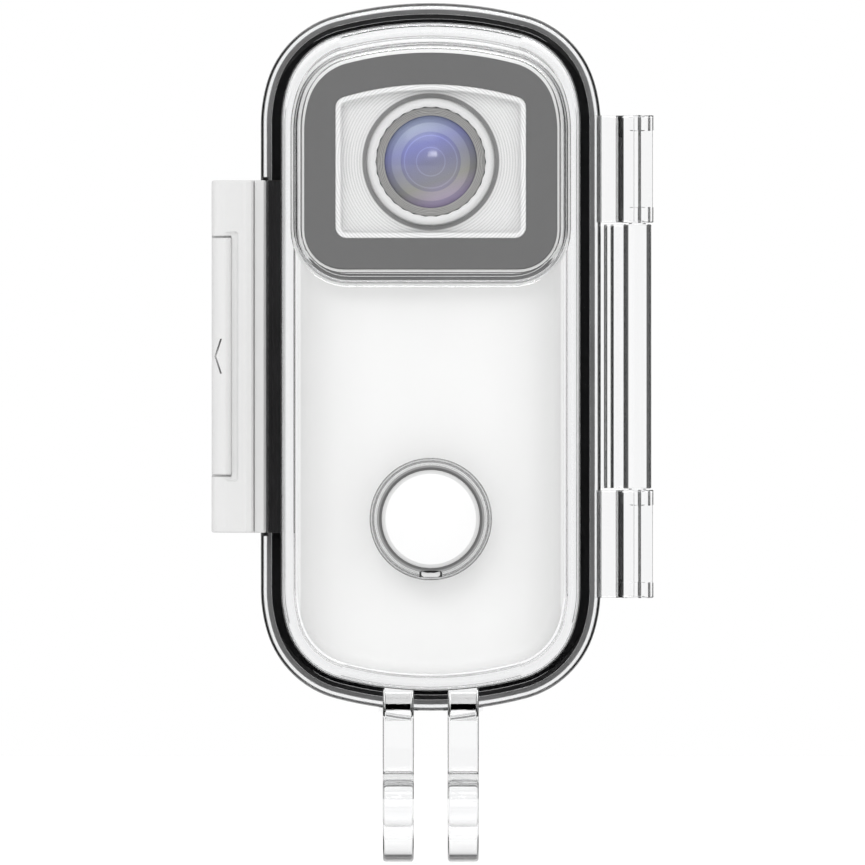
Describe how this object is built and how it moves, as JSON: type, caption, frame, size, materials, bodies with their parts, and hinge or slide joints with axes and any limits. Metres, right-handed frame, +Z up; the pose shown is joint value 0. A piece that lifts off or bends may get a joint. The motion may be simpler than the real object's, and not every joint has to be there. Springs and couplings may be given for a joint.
{
  "type": "action camera",
  "caption": "Small upright action camera in a clear dive housing with a hinged door, side latch, push button and two-prong mounting fork.",
  "frame": {"origin": "middle of the mounting fork's pivot hole", "axes": "+X right along the pivot hole, +Y back through the camera, +Z up along the camera's height"},
  "size_m": [0.0407, 0.0284, 0.0789],
  "materials": {
    "clear_plastic": "clear, polished",
    "window_glass": "clear, polished",
    "lens_glass": "blue-violet coated",
    "steel": "satin",
    "black_rubber": "matte",
    "white_plastic": "fine satin",
    "white_gloss": "semi-gloss",
    "grey_plastic": "fine matte",
    "grey_metal": "ribbed, anodised",
    "black_plastic": "matte",
    "board": "lacquered board",
    "alloy": "satin",
    "copper": "foil"
  },
  "bodies": {
    "case": {"front_shell": "clear_plastic", "window_frame": "clear_plastic", "lens_window": "window_glass", "mount_fork": "clear_plastic", "hinge_pin": "clear_plastic", "catch_strip": "black_rubber", "button_collar": "clear_plastic", "button_spring": "steel", "camera_front": "white_plastic", "camera_back": "white_plastic", "cover_seal": "black_rubber", "face_panel": "grey_plastic", "lens_recess": "white_gloss", "lens_ring": "white_gloss", "thread_ring": "grey_metal", "front_glass": "lens_glass", "lens_barrel": "black_plastic", "lens_elements": "lens_glass", "image_sensor": "board", "sensor_board": "board", "heat_plate": "alloy", "chassis": "alloy", "main_board": "board", "battery": "black_plastic", "card_slot": "steel", "memory_card": "black_plastic", "usb_port": "steel", "port_cover": "white_plastic", "speaker": "black_plastic", "microphones": "alloy", "antenna": "copper", "cover_screws": "steel", "button_board": "board", "dome_switch": "steel"},
    "door": {"back_door": "clear_plastic", "door_gasket": "black_rubber", "seat_pads": "black_rubber", "latch_pin": "steel"},
    "latch": {"latch_frame": "white_plastic", "lock_spring": "steel"},
    "lock": {"latch_lock": "white_plastic"},
    "plunger": {"push_button": "white_plastic", "button_seals": "black_rubber", "button_clip": "steel"},
    "shutter": {"camera_button": "white_plastic"}
  },
  "joints": [
    {"name": "door_hinge", "type": "hinge", "parent": "case", "child": "door", "pos_m": [0.019, 0.006, 0.04057], "axis": [0, 0, -1], "range_deg": [0, 90]},
    {"name": "latch_turn", "type": "hinge", "parent": "door", "child": "latch", "pos_m": [-0.0182, 0.0089, 0.0406], "axis": [0, 0, -1], "range_deg": [0, 144]},
    {"name": "lock_slide", "type": "slide", "parent": "latch", "child": "lock", "axis": [0, 1, 0], "range_m": [0, 0.0016], "stiffness_N_per_m": 300, "springref_m": -0.002, "deforming": ["lock_spring"]},
    {"name": "button_press", "type": "slide", "parent": "case", "child": "plunger", "axis": [0, 1, 0], "range_m": [0, 0.0006], "stiffness_N_per_m": 400, "springref_m": -0.003, "deforming": ["button_spring"]},
    {"name": "camera_button_press", "type": "slide", "parent": "case", "child": "shutter", "axis": [0, 1, 0], "range_m": [0, 0.0006]}
  ],
  "couplings": [
    {"joint": "latch_turn", "follows": "door_hinge", "ratio": 1.6},
    {"joint": "camera_button_press", "follows": "button_press", "ratio": 1}
  ]
}
